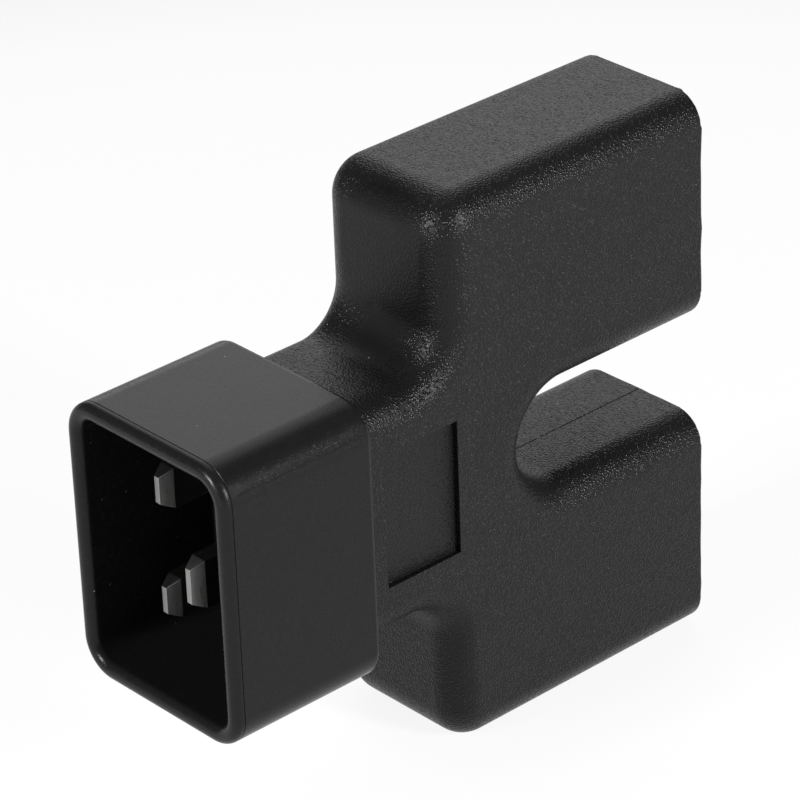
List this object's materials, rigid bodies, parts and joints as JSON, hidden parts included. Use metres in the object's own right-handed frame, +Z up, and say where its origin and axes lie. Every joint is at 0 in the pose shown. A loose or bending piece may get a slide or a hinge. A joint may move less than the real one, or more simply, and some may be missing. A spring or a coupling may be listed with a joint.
{
  "type": "iec power splitter adapter",
  "caption": "Moulded black fork-shaped power adapter that feeds an outlet in each leg from one shrouded three-blade inlet plug.",
  "frame": {"origin": "under the middle of the part, on the plane of the lower leg's underside", "axes": "+Y from the plug's mouth to the leg ends, +Z up from the lower leg to the upper one, +X towards the broad side with the bare recess, where the earth blade is"},
  "size_m": [0.0248, 0.07, 0.065],
  "materials": {
    "overmould": "fine spark-eroded texture on soft black moulding compound",
    "plug_plastic": "smooth satin black engineering plastic",
    "outlet_plastic": "smooth satin black engineering plastic",
    "pin_plating": "nickel-plated brass, satin",
    "contact_brass": "bare stamped brass strip"
  },
  "bodies": {
    "root": {"overmould_body": "overmould", "plug_shroud": "plug_plastic", "line_pin": "pin_plating", "neutral_pin": "pin_plating", "earth_pin": "pin_plating", "line_bus": "contact_brass", "neutral_bus": "contact_brass", "earth_bus": "contact_brass", "upper_outlet_core": "outlet_plastic", "lower_outlet_core": "outlet_plastic", "upper_outlet_cap": "outlet_plastic", "lower_outlet_cap": "outlet_plastic", "upper_line_contact": "contact_brass", "upper_neutral_contact": "contact_brass", "upper_earth_contact": "contact_brass", "lower_line_contact": "contact_brass", "lower_neutral_contact": "contact_brass", "lower_earth_contact": "contact_brass"}
  },
  "joints": []
}
